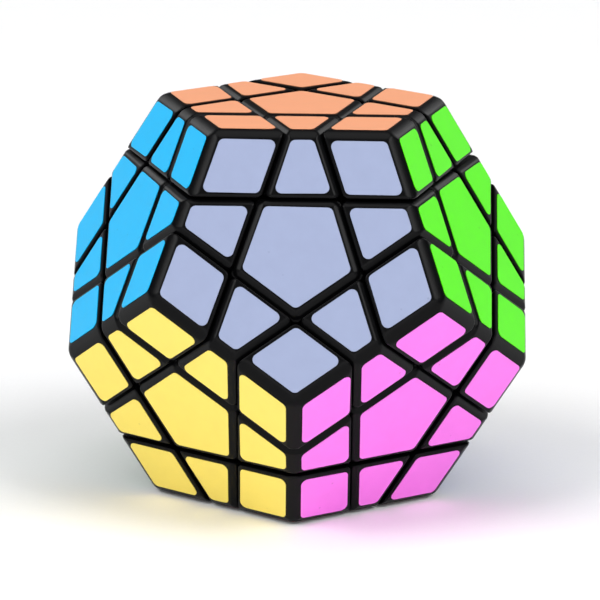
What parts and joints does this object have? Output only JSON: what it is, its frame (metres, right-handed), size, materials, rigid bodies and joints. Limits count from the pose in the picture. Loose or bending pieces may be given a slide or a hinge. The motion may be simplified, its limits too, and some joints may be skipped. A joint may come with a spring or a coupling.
{
  "type": "dodecahedron twisty puzzle",
  "caption": "Twelve-sided twisty puzzle: hooked corner and edge pieces and sprung centres turn in layers about a hollow ball core.",
  "frame": {"origin": "centre of the core, where all twelve layer axes cross", "axes": "+Z out of the top face U, -Y towards the front face F, the puzzle standing on face D"},
  "size_m": [0.0776, 0.0816, 0.0668],
  "materials": {
    "shell_plastic": "satin",
    "core_plastic": "satin",
    "screw_steel": "satin",
    "sticker_orange": "satin",
    "sticker_lavender_grey": "satin",
    "sticker_lime": "satin",
    "sticker_light_blue": "satin",
    "sticker_pink": "satin",
    "sticker_pale_yellow": "satin",
    "sticker_dark_green": "satin",
    "sticker_dark_blue": "satin",
    "sticker_white": "satin",
    "sticker_golden_yellow": "satin",
    "sticker_purple": "satin",
    "sticker_red": "satin"
  },
  "bodies": {
    "core": {"centre_screw_DBL": "screw_steel", "centre_screw_DR": "screw_steel", "centre_screw_U": "screw_steel", "core_with_fixed_centres": "core_plastic", "corner_BR_BL_DB": "shell_plastic", "corner_BR_DBR_DB": "shell_plastic", "corner_DBR_DB_D": "shell_plastic", "corner_F_L_DL": "shell_plastic", "corner_R_BR_DBR": "shell_plastic", "edge_BL_DB": "shell_plastic", "edge_BL_L": "shell_plastic", "edge_BR_BL": "shell_plastic", "edge_BR_DB": "shell_plastic", "edge_BR_DBR": "shell_plastic", "edge_DBR_D": "shell_plastic", "edge_DBR_DB": "shell_plastic", "edge_DB_D": "shell_plastic", "edge_DL_D": "shell_plastic", "edge_F_DL": "shell_plastic", "edge_F_L": "shell_plastic", "edge_F_R": "shell_plastic", "edge_L_DL": "shell_plastic", "edge_R_BR": "shell_plastic", "edge_R_DBR": "shell_plastic"},
    "layer_U": {"centre_U": "shell_plastic", "centre_cap_U": "shell_plastic", "corner_U_BL_L": "shell_plastic", "corner_U_BR_BL": "shell_plastic", "corner_U_F_L": "shell_plastic", "corner_U_F_R": "shell_plastic", "corner_U_R_BR": "shell_plastic", "edge_U_BL": "shell_plastic", "edge_U_BR": "shell_plastic", "edge_U_F": "shell_plastic", "edge_U_L": "shell_plastic", "edge_U_R": "shell_plastic"},
    "layer_DR": {"centre_DR": "shell_plastic", "centre_cap_DR": "shell_plastic", "corner_DR_DBR_D": "shell_plastic", "corner_DR_DL_D": "shell_plastic", "corner_F_DR_DL": "shell_plastic", "corner_F_R_DR": "shell_plastic", "corner_R_DR_DBR": "shell_plastic", "edge_DR_D": "shell_plastic", "edge_DR_DBR": "shell_plastic", "edge_DR_DL": "shell_plastic", "edge_F_DR": "shell_plastic", "edge_R_DR": "shell_plastic"},
    "layer_DBL": {"centre_DBL": "shell_plastic", "centre_cap_DBL": "shell_plastic", "corner_BL_DB_DBL": "shell_plastic", "corner_BL_L_DBL": "shell_plastic", "corner_DBL_DL_D": "shell_plastic", "corner_DB_DBL_D": "shell_plastic", "corner_L_DBL_DL": "shell_plastic", "edge_BL_DBL": "shell_plastic", "edge_DBL_D": "shell_plastic", "edge_DBL_DL": "shell_plastic", "edge_DB_DBL": "shell_plastic", "edge_L_DBL": "shell_plastic"}
  },
  "joints": [
    {"name": "turn_U", "type": "hinge", "parent": "core", "child": "layer_U", "pos_m": [0, 0, 0], "axis": [0, 0, 1], "continuous": true},
    {"name": "turn_DR", "type": "hinge", "parent": "core", "child": "layer_DR", "pos_m": [0, 0, 0], "axis": [0.5257, -0.7236, -0.4472], "continuous": true},
    {"name": "turn_DBL", "type": "hinge", "parent": "core", "child": "layer_DBL", "pos_m": [0, 0, 0], "axis": [-0.8507, 0.2764, -0.4472], "continuous": true}
  ]
}
